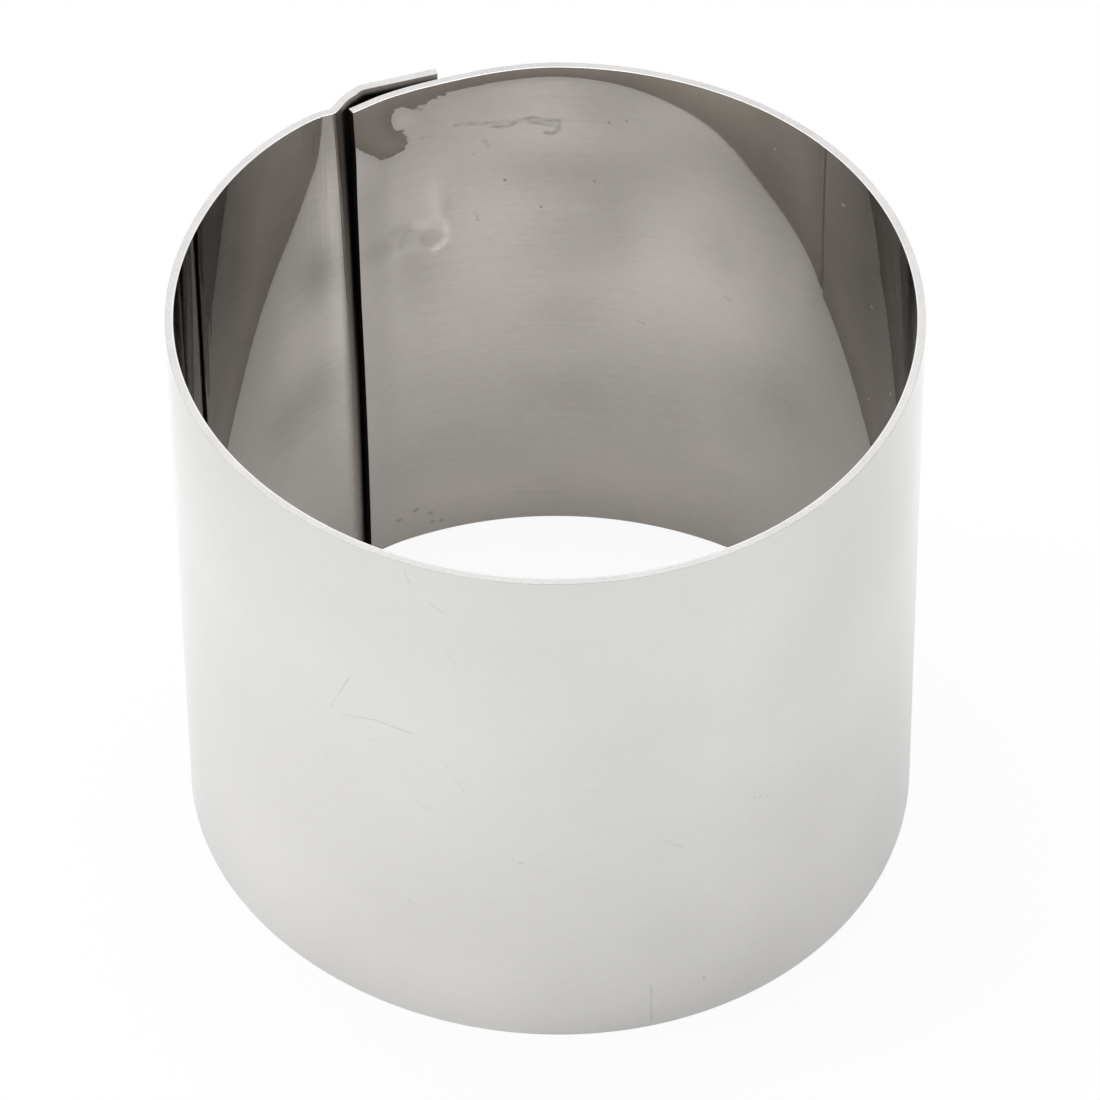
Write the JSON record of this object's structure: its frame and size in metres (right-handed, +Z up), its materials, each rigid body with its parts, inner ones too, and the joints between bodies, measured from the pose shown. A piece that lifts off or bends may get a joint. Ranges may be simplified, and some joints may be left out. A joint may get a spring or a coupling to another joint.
{
  "type": "mousse ring",
  "caption": "Open-ended round mousse ring rolled from polished stainless sheet, with a joggled lap seam held by spot welds, for setting and shaping desserts.",
  "frame": {"origin": "on the ring's axis, in the plane of the bottom rim that it stands on", "axes": "+Z up along the ring's axis; -Y is the front of the ring; the lap seam is at the back, left of the middle seen from the front"},
  "size_m": [0.0709, 0.0723, 0.06],
  "materials": {
    "polished_steel": "mill polished, fine brush lines along the strip",
    "weld_metal": "cast weld metal, dull"
  },
  "bodies": {
    "root": {"ring_band": "polished_steel", "weld_nugget_upper": "weld_metal", "weld_nugget_lower": "weld_metal"}
  },
  "joints": []
}
